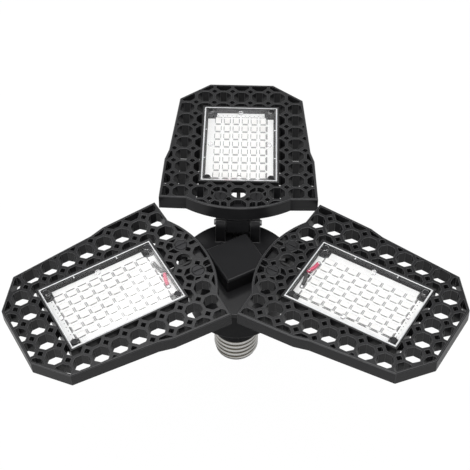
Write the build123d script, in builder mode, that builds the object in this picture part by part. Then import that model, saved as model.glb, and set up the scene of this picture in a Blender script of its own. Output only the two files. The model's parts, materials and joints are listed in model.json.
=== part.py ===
"""Folding grow light with three grille leaves round a hub on an Edison screw base.

Millimetres, +Z up. The origin is the centre of the screw shell's rim: the shell goes
down from it and the hub stands up from it. Each leaf is built once in a frame of its
own, with +X from the hinge axis out along the leaf, +Y across it and +Z towards the
light, and then placed at three azimuths with the tilt that it was left at.
"""
import os
from math import cos, radians, sin, sqrt

from build123d import *

# The stance of the lamp
hinge_height = 65.5
hinge_radius = 24.0
leaf_azimuths = (90, 210, 330)
leaf_tilts = (-6.6, -3.3, 1.4)
overrun = 1.0
snug_gap = 0.15
running_gap = 0.05

# The leaf's plate and its outline, from the outer end to the heel by the hub
face_height = 15.5
leaf_thickness = 8.8
grille_recess = 0.8
rim_wall = 1.5
edge_break = 0.5
tip_reach = 108.8
tip_half_width = 19.5
shoulder_reach = 94.2
shoulder_half_width = 37.5
flare_reach = 45.6
flare_half_width = 41.6
swell_reach = 37.2
swell_half_width = 43.8
heel_reach = 3.6
heel_half_width = 45.3
bulge_reach = 3.2
bulge_half_width = 29.7
bulge_depth = 8.6

# The grille's cells
cell_pitch = 11.0
cell_flats = 9.3
square_hole = 2.6
first_row_reach = -2.6
cell_rows = 11
cell_columns = 9
smallest_opening_area_share = 0.02
lead_hole_radius = 4.4

# The window well and its cover
window_gap = 1.8
cover_length = 67.4
cover_width = 44.0
cover_thickness = 1.5
cover_drop = 0.1
window_wall = 1.1
ledge_width = 1.0
well_floor = 2.6
cover_screw_end_inset = 3.0
cover_screw_side_inset = 3.5
cover_boss_radius = 2.3
cover_screw_radius = 0.9
cover_screw_length = 3.6
cover_head_radius = 1.7
cover_head_height = 0.7
cover_foot_radius = 1.4
cover_foot_height = 1.2
cover_foot_end_inset = 4.0
cover_foot_side_inset = 4.5

# The light board
board_length = 65.0
board_width = 39.6
board_thickness = 1.6
board_notch = 5.4
chip_rows = 8
chip_columns = 6
chip_row_pitch = 7.1
chip_column_pitch = 5.4
chip_length = 5.7
chip_width = 3.4
chip_height = 0.8

# The hinge
knuckle_reach = 4.9
knuckle_drop = 5.0
knuckle_round = 2.2
knuckle_width = 13.0
pin_radius = 1.7
pin_proud = 1.0
pin_break = 0.3
washer_radius = 4.4
washer_thickness = 0.5
ear_thickness = 5.6
ear_half_width = 5.2
ear_foot_flare = 1.2
ear_flare_drop = 5.0
tongue_recess = 5.5
tongue_recess_length = 17.0
tongue_recess_width = 34.0
flange_thickness = 2.5
flange_reach = 10.2
flange_heel = 0.6
flange_width = 31.0
flange_corner = 2.5
flange_notch_width = 9.4
web_length = 7.0
tongue_screw_reach = 5.0
tongue_screw_spacing = 20.4
tongue_boss_radius = 4.6
tongue_boss_rib = 0.9
tongue_boss_rib_turns = (0, 45, 180)
tongue_head_radius = 3.3
tongue_head_height = 1.5
tongue_head_gap = 0.25
tongue_screw_radius = 1.5
tongue_screw_length = 5.6
slot_width = 0.9
slot_length = 5.6
slot_depth = 0.7

# The leads of a leaf
sleeve_radius = 1.1
sleeve_lift = 0.5
sleeve_entry = 0.8
lead_notch_width = 4.4
lead_notch_depth = 3.0
core_radius = 0.45
core_spacing = 1.1
core_rise_run = 1.4
core_spread = 1.4
core_pad_offset = 8.0
core_lift = 0.1

# The hub
plate_radius = 33.5
plate_thickness = 3.0
plate_drop = 11.5
cap_width = 26.6
cap_height = 9.7
cap_wall = 1.8
cap_turn = 30
cap_edge = 0.8
cap_spigot_radius = 8.0
cap_spigot_wall = 1.5
plate_lip_wall = 1.6
plate_lip_height = 2.0
grommet_radius = 2.6
cup_top_radius = 29.4
cup_foot_radius = 27.5
cup_foot_height = 22.0
cup_foot_round = 3.0
cup_floor = 4.2
cup_wall = 2.6
board_ledge = 1.6
board_ledge_height = 40.0
neck_top_radius = 16.0
neck_root_height = 15.0
neck_waist_radius = 14.2
neck_rim_radius = 13.6
neck_bore_radius = 9.0
spigot_length = 11.0
pillar_radius = 3.2
pillar_ring_radius = 20.5
pillar_azimuths = (30, 150, 270)
hub_screw_radius = 1.4
hub_head_radius = 2.6
hub_head_height = 2.0
hub_screw_reach = 12.0

# The driver
driver_thickness = 1.6
driver_notch_gap = 0.6
transformer_core = 18.0
transformer_height = 12.5
transformer_depth = 8.0
transformer_bobbin = 13.0
transformer_reach = 7.5
capacitor_radius = 5.0
capacitor_height = 12.0
capacitor_reach = 11.5
inductor_radius = 3.6
inductor_waist_radius = 2.6
inductor_flange = 1.2
inductor_height = 8.0
inductor_side = 12.5
rectifier_length = 8.0
rectifier_width = 6.0
rectifier_height = 3.0
rectifier_side = 13.0
rectifier_reach = 1.0
supply_radius = 0.9
supply_offset = 4.6

# The screw base
shell_radius = 13.1
shell_length = 20.5
shell_wall = 0.4
shell_lip_radius = 9.6
shell_round = 1.6
insulator_height = 4.3
insulator_foot_radius = 5.6
insulator_inside = 3.0
contact_radius = 4.7
contact_height = 1.7

# Heights and places that follow from the sizes above
face = face_height
back = face_height - leaf_thickness
cover_top = face - cover_drop
cover_under = cover_top - cover_thickness
floor_top = back + well_floor
board_top = floor_top + board_thickness
recess_top = back + tongue_recess
flange_under = recess_top - flange_thickness
lead_hole_reach = first_row_reach + cell_pitch
window_reach = tongue_recess_length + window_gap + cover_length / 2
well_length = cover_length - 2 * ledge_width
well_width = cover_width - 2 * ledge_width
cover_screw_x = cover_length / 2 - cover_screw_end_inset
cover_screw_y = cover_width / 2 - cover_screw_side_inset
ear_gap = knuckle_width + 2 * (washer_thickness + 2 * running_gap)
pin_hole_radius = pin_radius + running_gap
plate_top = hinge_height - plate_drop
plate_under = plate_top - plate_thickness
cup_bore_radius = cup_top_radius - cup_wall
ledge_bore_radius = cup_bore_radius - board_ledge
cup_floor_top = cup_foot_height + cup_floor
well_wall = window_reach - well_length / 2
sleeve_height = floor_top + sleeve_radius + sleeve_lift


def write(piece, name):
    """Label a finished part and write it as a node of its own."""
    piece.label = name
    export_step(piece, f"parts/{name}.step")


def mirrored(points):
    """The points of one side of the leaf, outer end first, then the other side's."""
    return points + [(reach, -half) for reach, half in reversed(points)]


def leaf_outline():
    """The leaf seen from the light side: tapered, with a flare and a bulged heel."""
    side = [
        (bulge_reach, bulge_half_width),
        (heel_reach, heel_half_width),
        (swell_reach, swell_half_width),
        (flare_reach, flare_half_width),
        (shoulder_reach, shoulder_half_width),
        (tip_reach, tip_half_width),
    ]
    with BuildSketch() as outline:
        with BuildLine():
            Polyline(*mirrored(side))
            ThreePointArc(
                (bulge_reach, -bulge_half_width),
                (bulge_reach - bulge_depth, 0),
                (bulge_reach, bulge_half_width),
            )
        make_face()
    return outline.sketch


def grille_area():
    """Where the grille may be open: inside the rim and outside the window's wall."""
    with BuildSketch() as area:
        add(leaf_outline())
        offset(amount=-rim_wall, kind=Kind.INTERSECTION)
        with Locations((window_reach, 0)):
            Rectangle(
                cover_length + 2 * window_wall,
                cover_width + 2 * window_wall,
                mode=Mode.SUBTRACT,
            )
    return area.sketch


def cell_places():
    """Centres of the octagonal cells, and of the square holes between four of them."""
    middle = cell_columns // 2
    cells = [
        (first_row_reach + row * cell_pitch, column * cell_pitch)
        for row in range(cell_rows)
        for column in range(-middle, middle + 1)
    ]
    squares = [(x + cell_pitch / 2, y + cell_pitch / 2) for x, y in cells]
    return cells, squares


def grille_openings():
    """The cells and squares, cut off at the rim and at the window's wall."""
    cells, squares = cell_places()
    open_cells = [cell for cell in cells if cell != (lead_hole_reach, 0)]
    with BuildSketch() as openings:
        with Locations(*open_cells):
            RegularPolygon(cell_flats / 2, 8, major_radius=False, rotation=22.5)
        # the bracket's screws stand on round bosses, held by ribs across the cells
        with Locations((tongue_screw_reach, 0)):
            with GridLocations(0, tongue_screw_spacing, 1, 2):
                Circle(tongue_boss_radius, mode=Mode.SUBTRACT)
        for side in (-1, 1):
            for turn in tongue_boss_rib_turns:
                rib_x = tongue_screw_reach + tongue_boss_radius * cos(radians(turn))
                rib_y = tongue_screw_spacing / 2 + tongue_boss_radius * sin(radians(turn))
                with Locations((rib_x, side * rib_y)):
                    Rectangle(
                        2 * tongue_boss_radius,
                        tongue_boss_rib,
                        rotation=side * turn,
                        mode=Mode.SUBTRACT,
                    )
        with Locations(*squares):
            Rectangle(square_hole, square_hole, rotation=45)
        with Locations((lead_hole_reach, 0)):
            Circle(lead_hole_radius)
        add(grille_area(), mode=Mode.INTERSECT)
    least_area = smallest_opening_area_share * cell_flats**2
    return [face for face in openings.faces() if face.area > least_area]


def leaf_frame():
    """The moulded plate of a leaf."""
    outline = leaf_outline()
    with BuildPart() as frame:
        with BuildSketch(Plane.XY.offset(back)):
            add(outline)
        extrude(amount=leaf_thickness)
        chamfer(frame.edges().group_by(Axis.Z)[-1], length=edge_break)
        # the ribs stand a little back from the rim on the far side
        with BuildSketch(Plane.XY.offset(back)):
            add(grille_area())
        extrude(amount=grille_recess, mode=Mode.SUBTRACT)
        with BuildSketch(Plane.XY.offset(back)):
            with Locations((tongue_recess_length / 2, 0)):
                Rectangle(tongue_recess_length, tongue_recess_width)
            with Locations((0, 0)):
                Rectangle(tongue_recess_length, tongue_recess_width)
            add(grille_area(), mode=Mode.INTERSECT)
        extrude(amount=tongue_recess, mode=Mode.SUBTRACT)
        with BuildSketch(Plane.XY.offset(back)):
            add(grille_openings())
        extrude(amount=leaf_thickness, mode=Mode.SUBTRACT)
        # the cover's seat, then the deeper well for the board
        with BuildSketch(Plane.XY.offset(cover_under)):
            with Locations((window_reach, 0)):
                Rectangle(cover_length + 2 * snug_gap, cover_width + 2 * snug_gap)
        extrude(amount=face - cover_under, mode=Mode.SUBTRACT)
        with BuildSketch(Plane.XY.offset(floor_top)):
            with Locations((window_reach, 0)):
                Rectangle(well_length, well_width)
        extrude(amount=cover_under - floor_top, mode=Mode.SUBTRACT)
        with BuildSketch(Plane.XY.offset(floor_top)):
            with Locations((window_reach, 0)):
                with GridLocations(2 * cover_screw_x, 2 * cover_screw_y, 2, 2):
                    Circle(cover_boss_radius)
        extrude(amount=cover_under - floor_top)
        with BuildSketch(Plane.XY.offset(cover_under)):
            with Locations((window_reach, 0)):
                with GridLocations(2 * cover_screw_x, 2 * cover_screw_y, 2, 2):
                    Circle(cover_screw_radius)
        extrude(amount=-cover_screw_length, mode=Mode.SUBTRACT)
        # two pads take the bracket's screws, with their heads sunk in the face
        with BuildSketch(Plane.XY.offset(recess_top)):
            with Locations((tongue_screw_reach, 0)):
                with GridLocations(0, tongue_screw_spacing, 1, 2):
                    Circle(tongue_screw_radius + snug_gap)
        extrude(amount=face - recess_top, mode=Mode.SUBTRACT)
        with BuildSketch(Plane.XY.offset(face)):
            with Locations((tongue_screw_reach, 0)):
                with GridLocations(0, tongue_screw_spacing, 1, 2):
                    Circle(tongue_head_radius + tongue_head_gap)
        extrude(amount=-tongue_head_height, mode=Mode.SUBTRACT)
        # the lead comes in from the bracket's recess through the window's inner wall
        with BuildSketch(Plane.YZ.offset(tongue_recess_length - overrun)):
            with Locations((0, sleeve_height)):
                Circle(sleeve_radius + snug_gap)
        extrude(
            amount=well_wall + 2 * overrun - tongue_recess_length, mode=Mode.SUBTRACT
        )
    return frame.part


def led_board():
    """The light board, with its corners notched round the cover's bosses."""
    with BuildPart() as board:
        with BuildSketch(Plane.XY.offset(floor_top)):
            with Locations((window_reach, 0)):
                Rectangle(board_length, board_width)
                with GridLocations(board_length, board_width, 2, 2):
                    Rectangle(2 * board_notch, 2 * board_notch, mode=Mode.SUBTRACT)
                with Locations((-board_length / 2, 0)):
                    Rectangle(
                        2 * lead_notch_depth, lead_notch_width, mode=Mode.SUBTRACT
                    )
        extrude(amount=board_thickness)
    return board.part


def led_chips():
    """All the light chips of one board, as separate solids."""
    with BuildPart() as chips:
        with BuildSketch(Plane.XY.offset(board_top)):
            with Locations((window_reach, 0)):
                with GridLocations(
                    chip_row_pitch, chip_column_pitch, chip_rows, chip_columns
                ):
                    Rectangle(chip_length, chip_width)
        extrude(amount=chip_height)
    return chips.part


def window_cover():
    """The clear plate, with a foot at the middle of each side and four screw holes."""
    foot_x = cover_length / 2 - cover_foot_end_inset
    foot_y = cover_width / 2 - cover_foot_side_inset
    with BuildPart() as cover:
        with BuildSketch(Plane.XY.offset(cover_under)):
            with Locations((window_reach, 0)):
                Rectangle(cover_length, cover_width)
                with GridLocations(2 * cover_screw_x, 2 * cover_screw_y, 2, 2):
                    Circle(cover_screw_radius + snug_gap, mode=Mode.SUBTRACT)
        extrude(amount=cover_thickness)
        with BuildSketch(Plane.XY.offset(cover_top)):
            with Locations((window_reach, 0)):
                with GridLocations(2 * cover_screw_x, 2 * cover_screw_y, 2, 2):
                    Circle(cover_head_radius + snug_gap)
        extrude(amount=-cover_head_height, mode=Mode.SUBTRACT)
        with BuildSketch(Plane.XY.offset(cover_under)):
            with Locations((window_reach, 0)):
                with Locations((foot_x, 0), (-foot_x, 0), (0, foot_y), (0, -foot_y)):
                    Circle(cover_foot_radius)
        extrude(amount=-cover_foot_height)
    return cover.part


def cover_screws():
    """Four pan screws at the cover's corners."""
    with BuildPart() as screws:
        with BuildSketch(Plane.XY.offset(cover_top - cover_head_height)):
            with Locations((window_reach, 0)):
                with GridLocations(2 * cover_screw_x, 2 * cover_screw_y, 2, 2):
                    Circle(cover_head_radius)
        extrude(amount=cover_head_height)
        with BuildSketch(Plane.XY.offset(cover_top - cover_head_height)):
            with Locations((window_reach, 0)):
                with GridLocations(2 * cover_screw_x, 2 * cover_screw_y, 2, 2):
                    Circle(cover_screw_radius - running_gap)
        extrude(amount=-cover_screw_length)
    return screws.part


def hinge_tongue():
    """The bracket: a knuckle on the hinge axis, a web and a flange under the face."""
    flange_middle = (flange_reach - flange_heel) / 2
    with BuildPart() as tongue:
        with BuildSketch(Plane.XZ.offset(-knuckle_width / 2)):
            Rectangle(2 * knuckle_reach, 2 * knuckle_drop)
            with Locations((0, recess_top / 2)):
                Rectangle(web_length, recess_top)
        extrude(amount=knuckle_width)
        # its lower corners are rounded, to swing clear of the cap
        fillet(
            tongue.edges().filter_by(Axis.Y).group_by(Axis.Z)[0], radius=knuckle_round
        )
        with BuildSketch(Plane.XY.offset(flange_under)):
            with Locations((flange_middle, 0)):
                RectangleRounded(
                    flange_reach + flange_heel, flange_width, flange_corner
                )
            with Locations((web_length / 2 + flange_reach / 2, 0)):
                Rectangle(flange_reach, flange_notch_width, mode=Mode.SUBTRACT)
        extrude(amount=flange_thickness)
        with BuildSketch(Plane.XY.offset(flange_under)):
            with Locations((tongue_screw_reach, 0)):
                with GridLocations(0, tongue_screw_spacing, 1, 2):
                    Circle(tongue_screw_radius + running_gap)
        extrude(amount=flange_thickness, mode=Mode.SUBTRACT)
        with BuildSketch(Plane.XZ.offset(-knuckle_width / 2)):
            Circle(pin_hole_radius)
        extrude(amount=knuckle_width, mode=Mode.SUBTRACT)
    return tongue.part


def tongue_screws():
    """Two slotted screws that hold the bracket from the light side."""
    head_under = face - tongue_head_height
    with BuildPart() as screws:
        with BuildSketch(Plane.XY.offset(head_under)):
            with Locations((tongue_screw_reach, 0)):
                with GridLocations(0, tongue_screw_spacing, 1, 2):
                    Circle(tongue_head_radius)
        extrude(amount=tongue_head_height)
        with BuildSketch(Plane.XY.offset(head_under)):
            with Locations((tongue_screw_reach, 0)):
                with GridLocations(0, tongue_screw_spacing, 1, 2):
                    Circle(tongue_screw_radius)
        extrude(amount=-tongue_screw_length + tongue_head_height)
        with BuildSketch(Plane.XY.offset(face)):
            with Locations((tongue_screw_reach, 0)):
                with GridLocations(0, tongue_screw_spacing, 1, 2):
                    SlotOverall(slot_length, slot_width)
        extrude(amount=-slot_depth, mode=Mode.SUBTRACT)
    return screws.part


def hinge_pin():
    """The pin, a little proud of the ears at both ends."""
    length = ear_gap + 2 * (ear_thickness + pin_proud)
    with BuildPart() as pin:
        with BuildSketch(Plane.XZ.offset(-length / 2)):
            Circle(pin_radius)
        extrude(amount=length)
        chamfer(pin.edges().filter_by(GeomType.CIRCLE), length=pin_break)
    return pin.part


def hinge_washers():
    """A friction washer at each end of the knuckle."""
    with BuildPart() as washers:
        for side in (-1, 1):
            middle = knuckle_width / 2 + running_gap + washer_thickness / 2
            with BuildSketch(Plane.XZ.offset(side * middle)):
                Circle(washer_radius)
                Circle(pin_hole_radius, mode=Mode.SUBTRACT)
            extrude(amount=washer_thickness / 2, both=True)
    return washers.part


def lamp_lead():
    """The two-core sleeve, from the bracket's web through the window's inner wall."""
    with BuildPart() as lead:
        with BuildSketch(Plane.YZ.offset(web_length / 2)):
            with Locations((0, sleeve_height)):
                Circle(sleeve_radius)
        extrude(amount=well_wall + sleeve_entry - web_length / 2)
    return lead.part


def core_lead(side):
    """One core, from the sleeve's end over the board's notch to its solder point."""
    start_reach = well_wall + sleeve_entry
    over_board = board_top + core_radius + core_lift
    start = (start_reach, side * core_spacing / 2, sleeve_height)
    clear = (start_reach + core_radius, side * core_spacing / 2, sleeve_height)
    over = (start_reach + core_rise_run, side * core_spread, over_board)
    end = (start_reach + core_rise_run, side * core_pad_offset, over_board)
    with BuildPart() as core:
        with BuildLine() as path:
            Polyline(start, clear, over, end)
        with BuildSketch(Plane(origin=path.line @ 0, z_dir=path.line % 0)):
            Circle(core_radius)
        sweep(transition=Transition.ROUND)
    return core.part


def hinge_plane(azimuth):
    """The upright plane through one hinge's middle, with its X running outwards."""
    outward = (cos(radians(azimuth)), sin(radians(azimuth)), 0)
    across = (sin(radians(azimuth)), -cos(radians(azimuth)), 0)
    origin = (hinge_radius * outward[0], hinge_radius * outward[1], hinge_height)
    return Plane(origin=origin, x_dir=outward, z_dir=across)


def leaf_place(azimuth, tilt):
    """Where a leaf's own frame lies: on the hinge axis, outer end up by the tilt."""
    turn = radians(azimuth)
    rise = radians(tilt)
    along = (cos(turn) * cos(rise), sin(turn) * cos(rise), sin(rise))
    normal = (-cos(turn) * sin(rise), -sin(turn) * sin(rise), cos(rise))
    origin = (hinge_radius * cos(turn), hinge_radius * sin(turn), hinge_height)
    return Plane(origin=origin, x_dir=along, z_dir=normal).location


def hinge_plate():
    """The round top plate, with three pairs of ears and a lip inside the cup."""
    ear_offset = ear_gap / 2 + ear_thickness / 2
    with BuildPart() as plate:
        with BuildSketch(Plane.XY.offset(plate_under)):
            Circle(plate_radius)
            Circle(cap_spigot_radius + snug_gap, mode=Mode.SUBTRACT)
            with PolarLocations(hinge_radius, 3, leaf_azimuths[0]):
                Circle(grommet_radius, mode=Mode.SUBTRACT)
        extrude(amount=plate_thickness)
        with BuildSketch(Plane.XY.offset(plate_under)):
            Circle(cup_bore_radius - snug_gap)
            Circle(cup_bore_radius - snug_gap - plate_lip_wall, mode=Mode.SUBTRACT)
            with PolarLocations(hinge_radius, 3, leaf_azimuths[0]):
                Circle(grommet_radius + plate_lip_wall, mode=Mode.SUBTRACT)
        extrude(amount=-plate_lip_height)
        # each ear is a flared foot with a round top about the hinge axis
        for azimuth in leaf_azimuths:
            for side in (-1, 1):
                with BuildSketch(hinge_plane(azimuth).offset(side * ear_offset)):
                    Circle(ear_half_width)
                    with BuildLine():
                        Polyline(
                            (-ear_half_width, 0),
                            (-ear_half_width, -plate_drop),
                            (ear_half_width + ear_foot_flare, -plate_drop),
                            (ear_half_width + ear_foot_flare, -ear_flare_drop),
                            (ear_half_width, 0),
                            close=True,
                        )
                    make_face()
                    Circle(pin_radius + running_gap, mode=Mode.SUBTRACT)
                extrude(amount=ear_thickness / 2, both=True)
        with BuildSketch(Plane.XY.offset(plate_under)):
            for azimuth in pillar_azimuths:
                with PolarLocations(pillar_ring_radius, 1, azimuth):
                    Circle(pillar_radius)
        extrude(amount=cup_floor_top - plate_under)
        with BuildSketch(Plane.XY.offset(cup_floor_top)):
            for azimuth in pillar_azimuths:
                with PolarLocations(pillar_ring_radius, 1, azimuth):
                    Circle(hub_screw_radius + running_gap)
        extrude(amount=hub_screw_reach, mode=Mode.SUBTRACT)
    return plate.part


def lead_grommets():
    """A bush in the plate below each hinge, where the leaf's lead leaves the hub."""
    with BuildPart() as grommets:
        with BuildSketch(Plane.XY.offset(plate_under)):
            with PolarLocations(hinge_radius, 3, leaf_azimuths[0]):
                Circle(grommet_radius - running_gap)
                Circle(sleeve_radius, mode=Mode.SUBTRACT)
        extrude(amount=plate_thickness)
    return grommets.part


def centre_cap():
    """The square cap, hollow below, with a round spigot in the plate's middle hole."""
    turned = Plane.XY.rotated((0, 0, cap_turn))
    inner = cap_width - 2 * cap_wall
    with BuildPart() as cap:
        with BuildSketch(turned.offset(plate_top)):
            Rectangle(cap_width, cap_width)
        extrude(amount=cap_height)
        chamfer(cap.edges().group_by(Axis.Z)[-1], length=cap_edge)
        with BuildSketch(turned.offset(plate_top)):
            Rectangle(inner, inner)
        extrude(amount=cap_height - cap_wall, mode=Mode.SUBTRACT)
        with BuildSketch(Plane.XY.offset(plate_under)):
            Circle(cap_spigot_radius)
            Circle(cap_spigot_radius - cap_spigot_wall, mode=Mode.SUBTRACT)
        extrude(amount=plate_thickness + cap_height - cap_wall)
    return cap.part


def hub_cup():
    """The driver's housing: a tapered cup that runs down into the neck."""
    flat_start = pillar_ring_radius - hub_head_radius - snug_gap
    with BuildPart() as cup:
        with BuildSketch(Plane.XZ):
            with BuildLine():
                Polyline(
                    (0, plate_under),
                    (cup_top_radius, plate_under),
                    (cup_foot_radius, cup_foot_height),
                    (min(neck_top_radius, flat_start), cup_foot_height),
                    (neck_waist_radius, neck_root_height),
                    (neck_rim_radius, 0),
                    (0, 0),
                    close=True,
                )
            make_face()
        revolve(axis=Axis.Z)
        foot = cup.edges().filter_by(GeomType.CIRCLE)
        foot = foot.filter_by(lambda edge: abs(edge.radius - cup_foot_radius) < running_gap)
        fillet(foot, radius=cup_foot_round)
        # the spigot that carries the screw shell
        with BuildSketch():
            Circle(shell_radius - shell_wall - running_gap)
        extrude(amount=-spigot_length)
        with BuildSketch(Plane.XY.offset(board_ledge_height)):
            Circle(cup_bore_radius)
        extrude(amount=plate_under - board_ledge_height, mode=Mode.SUBTRACT)
        with BuildSketch(Plane.XY.offset(cup_floor_top)):
            Circle(ledge_bore_radius)
        extrude(amount=board_ledge_height - cup_floor_top, mode=Mode.SUBTRACT)
        with BuildSketch(Plane.XY.offset(-spigot_length)):
            Circle(neck_bore_radius)
        extrude(amount=spigot_length + cup_floor_top, mode=Mode.SUBTRACT)
        for azimuth in pillar_azimuths:
            with BuildSketch(Plane.XY.offset(cup_foot_height)):
                with PolarLocations(pillar_ring_radius, 1, azimuth):
                    Circle(hub_screw_radius + snug_gap)
            extrude(amount=cup_floor, mode=Mode.SUBTRACT)
            with BuildSketch(Plane.XY.offset(cup_foot_height)):
                with PolarLocations(pillar_ring_radius, 1, azimuth):
                    Circle(hub_head_radius + snug_gap)
            extrude(amount=hub_head_height, mode=Mode.SUBTRACT)
    return cup.part


def hub_screws():
    """Three screws from below, through the cup's floor into the plate's pillars."""
    with BuildPart() as screws:
        for azimuth in pillar_azimuths:
            with BuildSketch(Plane.XY.offset(cup_foot_height)):
                with PolarLocations(pillar_ring_radius, 1, azimuth):
                    Circle(hub_head_radius)
            extrude(amount=hub_head_height)
            with BuildSketch(Plane.XY.offset(cup_foot_height)):
                with PolarLocations(pillar_ring_radius, 1, azimuth):
                    Circle(hub_screw_radius)
            extrude(amount=cup_floor + hub_screw_reach - overrun)
    return screws.part


def driver_board():
    """The driver's round board on the cup's ledge, notched round the pillars."""
    with BuildPart() as board:
        with BuildSketch(Plane.XY.offset(board_ledge_height)):
            Circle(cup_bore_radius - snug_gap)
            for azimuth in pillar_azimuths:
                with PolarLocations(pillar_ring_radius, 1, azimuth):
                    Circle(pillar_radius + driver_notch_gap, mode=Mode.SUBTRACT)
        extrude(amount=driver_thickness)
    return board.part


def driver_transformer():
    """A ferrite core on its bobbin, under the board."""
    bobbin = transformer_bobbin
    with BuildPart() as transformer:
        with BuildSketch(Plane.XY.offset(board_ledge_height)):
            with Locations((0, transformer_reach)):
                Rectangle(transformer_core, transformer_depth)
        extrude(amount=-transformer_height)
        with BuildSketch(Plane.XY.offset(board_ledge_height)):
            with Locations((0, transformer_reach)):
                RectangleRounded(bobbin, bobbin, cap_spigot_wall)
        extrude(amount=-transformer_height + cap_wall)
    return transformer.part


def driver_capacitor():
    """An electrolytic capacitor that stands down from the board."""
    with BuildPart() as capacitor:
        with BuildSketch(Plane.XY.offset(board_ledge_height)):
            with Locations((0, -capacitor_reach)):
                Circle(capacitor_radius)
        extrude(amount=-capacitor_height)
        chamfer(capacitor.edges().group_by(Axis.Z)[0], length=pin_break)
    return capacitor.part


def driver_inductor():
    """A drum inductor: two flanges with the winding between them."""
    with BuildPart() as inductor:
        with BuildSketch(Plane.XZ):
            with BuildLine():
                Polyline(
                    (inductor_side, board_ledge_height),
                    (inductor_side + inductor_radius, board_ledge_height),
                    (inductor_side + inductor_radius, board_ledge_height - inductor_flange),
                    (inductor_side + inductor_waist_radius, board_ledge_height - inductor_flange),
                    (
                        inductor_side + inductor_waist_radius,
                        board_ledge_height - inductor_height + inductor_flange,
                    ),
                    (
                        inductor_side + inductor_radius,
                        board_ledge_height - inductor_height + inductor_flange,
                    ),
                    (inductor_side + inductor_radius, board_ledge_height - inductor_height),
                    (inductor_side, board_ledge_height - inductor_height),
                    close=True,
                )
            make_face()
        revolve(axis=Axis((inductor_side, 0, 0), (0, 0, 1)))
    return inductor.part


def driver_rectifier():
    """The bridge rectifier under the board."""
    with BuildPart() as rectifier:
        with BuildSketch(Plane.XY.offset(board_ledge_height)):
            with Locations((-rectifier_side, -rectifier_reach)):
                Rectangle(rectifier_width, rectifier_length)
        extrude(amount=-rectifier_height)
    return rectifier.part


def supply_leads():
    """The two mains leads: one to the tip contact and one to the shell's wall."""
    with BuildPart() as leads:
        for side, foot in ((-1, -shell_length), (1, -spigot_length)):
            with BuildSketch(Plane.XY.offset(foot)):
                with Locations((side * supply_offset, 0)):
                    Circle(supply_radius)
            extrude(amount=board_ledge_height - foot)
    return leads.part


def screw_shell():
    """The metal shell at its crest size, drawn in at the bottom round the insulator."""
    with BuildPart() as shell:
        with BuildSketch(Plane.XZ):
            with BuildLine():
                Polyline(
                    (shell_radius - shell_wall, 0),
                    (shell_radius, 0),
                    (shell_radius, -shell_length + shell_round),
                    (shell_lip_radius, -shell_length),
                    (shell_lip_radius, -shell_length + shell_wall),
                    (shell_radius - shell_wall, -shell_length + shell_round + shell_wall),
                    close=True,
                )
            make_face()
        revolve(axis=Axis.Z)
    return shell.part


def base_insulator():
    """The insulating cone between the shell and the tip, keyed inside the shell."""
    with BuildPart() as insulator:
        with BuildSketch(Plane.XZ):
            with BuildLine():
                Polyline(
                    (0, -shell_length + insulator_inside),
                    (shell_lip_radius - running_gap, -shell_length + insulator_inside),
                    (shell_lip_radius - running_gap, -shell_length),
                    (insulator_foot_radius, -shell_length - insulator_height),
                    (0, -shell_length - insulator_height),
                    close=True,
                )
            make_face()
        revolve(axis=Axis.Z)
        with BuildSketch(Plane.XY.offset(-shell_length - insulator_height)):
            with Locations((-supply_offset, 0)):
                Circle(supply_radius + running_gap)
        extrude(amount=insulator_height + insulator_inside, mode=Mode.SUBTRACT)
    return insulator.part


def centre_contact():
    """The tip's contact: a low dome of sheet metal."""
    top = -shell_length - insulator_height
    dome = (contact_radius**2 + contact_height**2) / (2 * contact_height)
    bulge = contact_radius * sqrt(3) / 2
    sag = sqrt(dome**2 - bulge**2) - (dome - contact_height)
    with BuildPart() as contact:
        with BuildSketch(Plane.XZ):
            with BuildLine():
                Line((0, top - contact_height), (0, top))
                Line((0, top), (contact_radius, top))
                ThreePointArc(
                    (contact_radius, top),
                    (bulge, top - sag),
                    (0, top - contact_height),
                )
            make_face()
        revolve(axis=Axis.Z)
    return contact.part


leaf_pieces = {
    "leaf_frame": leaf_frame(),
    "led_board": led_board(),
    "led_chips": led_chips(),
    "window_cover": window_cover(),
    "cover_screws": cover_screws(),
    "hinge_tongue": hinge_tongue(),
    "tongue_screws": tongue_screws(),
    "hinge_pin": hinge_pin(),
    "hinge_washers": hinge_washers(),
    "lamp_lead": lamp_lead(),
    "red_lead": core_lead(1),
    "black_lead": core_lead(-1),
}
hub_pieces = {
    "hub_cup": hub_cup(),
    "hinge_plate": hinge_plate(),
    "lead_grommets": lead_grommets(),
    "centre_cap": centre_cap(),
    "hub_screws": hub_screws(),
    "driver_board": driver_board(),
    "driver_transformer": driver_transformer(),
    "driver_capacitor": driver_capacitor(),
    "driver_inductor": driver_inductor(),
    "driver_rectifier": driver_rectifier(),
    "supply_leads": supply_leads(),
    "screw_shell": screw_shell(),
    "base_insulator": base_insulator(),
    "centre_contact": centre_contact(),
}

os.makedirs("parts", exist_ok=True)
for name, piece in hub_pieces.items():
    write(piece, name)
for number, (azimuth, tilt) in enumerate(zip(leaf_azimuths, leaf_tilts), start=1):
    place = leaf_place(azimuth, tilt)
    for name, piece in leaf_pieces.items():
        write(piece.moved(place), f"{name}_{number}")
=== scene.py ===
# %% [markdown]
# # A foldable grow light
# The lamp screws into a ceiling socket. A dark tapered hub carries three hinged
# leaves, and each leaf is an open grille round a clear window with a light board.
# The CAD model fixes every size and every hinge. This lesson gives it its looks:
# moulded plastic, clear acrylic, white boards, small metal parts and a rolled
# thread. Lengths are in metres, and the origin is the rim of the screw shell.

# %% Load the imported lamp
import json

import bmesh
import bpy
import numpy as np
from mathutils import Matrix


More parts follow.
